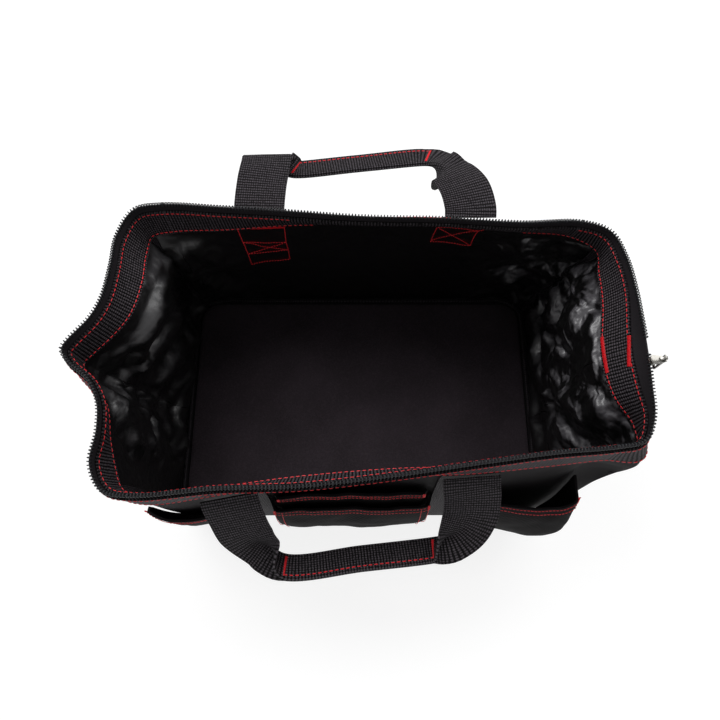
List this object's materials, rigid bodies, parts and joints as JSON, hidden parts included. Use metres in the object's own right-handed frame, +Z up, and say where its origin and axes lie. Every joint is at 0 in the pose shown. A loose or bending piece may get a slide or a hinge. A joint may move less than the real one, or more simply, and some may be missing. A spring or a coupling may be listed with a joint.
{
  "type": "zippered tool bag",
  "caption": "Soft rectangular tool bag standing open, with a zip round its wide mouth, a stiff base board, outside pockets and folded webbing handles.",
  "frame": {"origin": "the middle of the underside of the floor", "axes": "+X to the end where the slider parks, +Y to the rear, +Z up"},
  "size_m": [0.4167, 0.3557, 0.2349],
  "materials": {
    "black_cloth": "plain woven polyester, matt",
    "pocket_cloth": "coarse basket-woven polyester, matt",
    "black_webbing": "ribbed woven webbing with red stitching, matt",
    "coated_cloth": "woven polyester outside, smooth shiny coating inside",
    "board": "fine grained, matt",
    "coil_nylon": "semi-gloss nylon coil",
    "nickel": "bright nickel plate"
  },
  "bodies": {
    "base": {"floor_panel": "black_cloth", "floor_seam_binding": "black_cloth", "base_board": "board", "right_end_panel": "coated_cloth", "right_end_inner_band": "black_webbing", "right_end_outer_band": "black_webbing", "left_end_panel": "coated_cloth", "left_end_inner_band": "black_webbing", "left_end_outer_band": "black_webbing", "right_front_zip_tape": "black_cloth", "right_front_zip_coil": "coil_nylon", "right_rear_zip_tape": "black_cloth", "right_rear_zip_coil": "coil_nylon", "left_zip_tape": "black_cloth", "left_zip_coil": "coil_nylon", "zip_end_gusset": "black_cloth", "front_left_seam_tape": "black_cloth", "front_right_seam_tape": "black_cloth", "rear_right_seam_tape": "black_cloth", "rear_left_seam_tape": "black_cloth"},
    "front_side": {"front_panel": "coated_cloth", "front_inner_band": "black_webbing", "front_outer_band": "black_webbing", "front_zip_tape": "black_cloth", "front_zip_coil": "coil_nylon", "front_strap_left": "black_webbing", "front_strap_right": "black_webbing", "front_pocket_left": "pocket_cloth", "front_pocket_left_hem": "black_cloth", "front_pocket_centre": "pocket_cloth", "front_pocket_centre_hem": "black_cloth", "front_pocket_centre_back": "pocket_cloth", "front_pocket_centre_back_hem": "black_cloth", "front_pocket_right": "pocket_cloth", "front_pocket_right_hem": "black_cloth"},
    "rear_side": {"rear_panel": "coated_cloth", "rear_inner_band": "black_webbing", "rear_outer_band": "black_webbing", "rear_zip_tape": "black_cloth", "rear_zip_coil": "coil_nylon", "rear_strap_left": "black_webbing", "rear_strap_right": "black_webbing", "rear_pocket_left": "pocket_cloth", "rear_pocket_left_hem": "black_cloth", "rear_pocket_centre": "pocket_cloth", "rear_pocket_centre_hem": "black_cloth", "rear_pocket_right": "pocket_cloth", "rear_pocket_right_hem": "black_cloth"},
    "front_handle": {"front_handle": "black_webbing"},
    "rear_handle": {"rear_handle": "black_webbing"},
    "slider": {"zip_slider": "nickel"},
    "pull": {"pull_tab": "nickel"}
  },
  "joints": [
    {"name": "front_close", "type": "hinge", "parent": "base", "child": "front_side", "pos_m": [0, -0.115, 0.00335], "axis": [-1, 0, 0], "range_deg": [0, 22.6], "deforming": ["right_end_panel", "right_end_inner_band", "right_end_outer_band", "left_end_panel", "left_end_inner_band", "left_end_outer_band", "right_front_zip_tape", "right_front_zip_coil", "right_rear_zip_tape", "right_rear_zip_coil", "left_zip_tape", "left_zip_coil", "zip_end_gusset", "front_left_seam_tape", "front_right_seam_tape", "rear_right_seam_tape", "rear_left_seam_tape"]},
    {"name": "rear_close", "type": "hinge", "parent": "base", "child": "rear_side", "pos_m": [0, 0.115, 0.00335], "axis": [1, 0, 0], "range_deg": [0, 22.6]},
    {"name": "slider_travel", "type": "slide", "parent": "base", "child": "slider", "axis": [-1, 0, 0], "range_m": [0, 0.3885]},
    {"name": "front_handle_swing", "type": "hinge", "parent": "front_side", "child": "front_handle", "pos_m": [-0.08787, -0.11784, 0.1917], "axis": [-0.9977, -0.0672, -0.0063], "range_deg": [0, 92]},
    {"name": "rear_handle_swing", "type": "hinge", "parent": "rear_side", "child": "rear_handle", "pos_m": [-0.07914, 0.11039, 0.1982], "axis": [0.9982, -0.0593, 0], "range_deg": [0, 76]},
    {"name": "pull_swing", "type": "hinge", "parent": "slider", "child": "pull", "pos_m": [0.20642, -0.01795, 0.23113], "axis": [0, -1, 0], "range_deg": [0, 150]}
  ],
  "couplings": [
    {"joint": "rear_close", "follows": "front_close", "ratio": 1},
    {"joint": "slider_travel", "follows": "front_close", "m_per_rad": 0.98366}
  ]
}
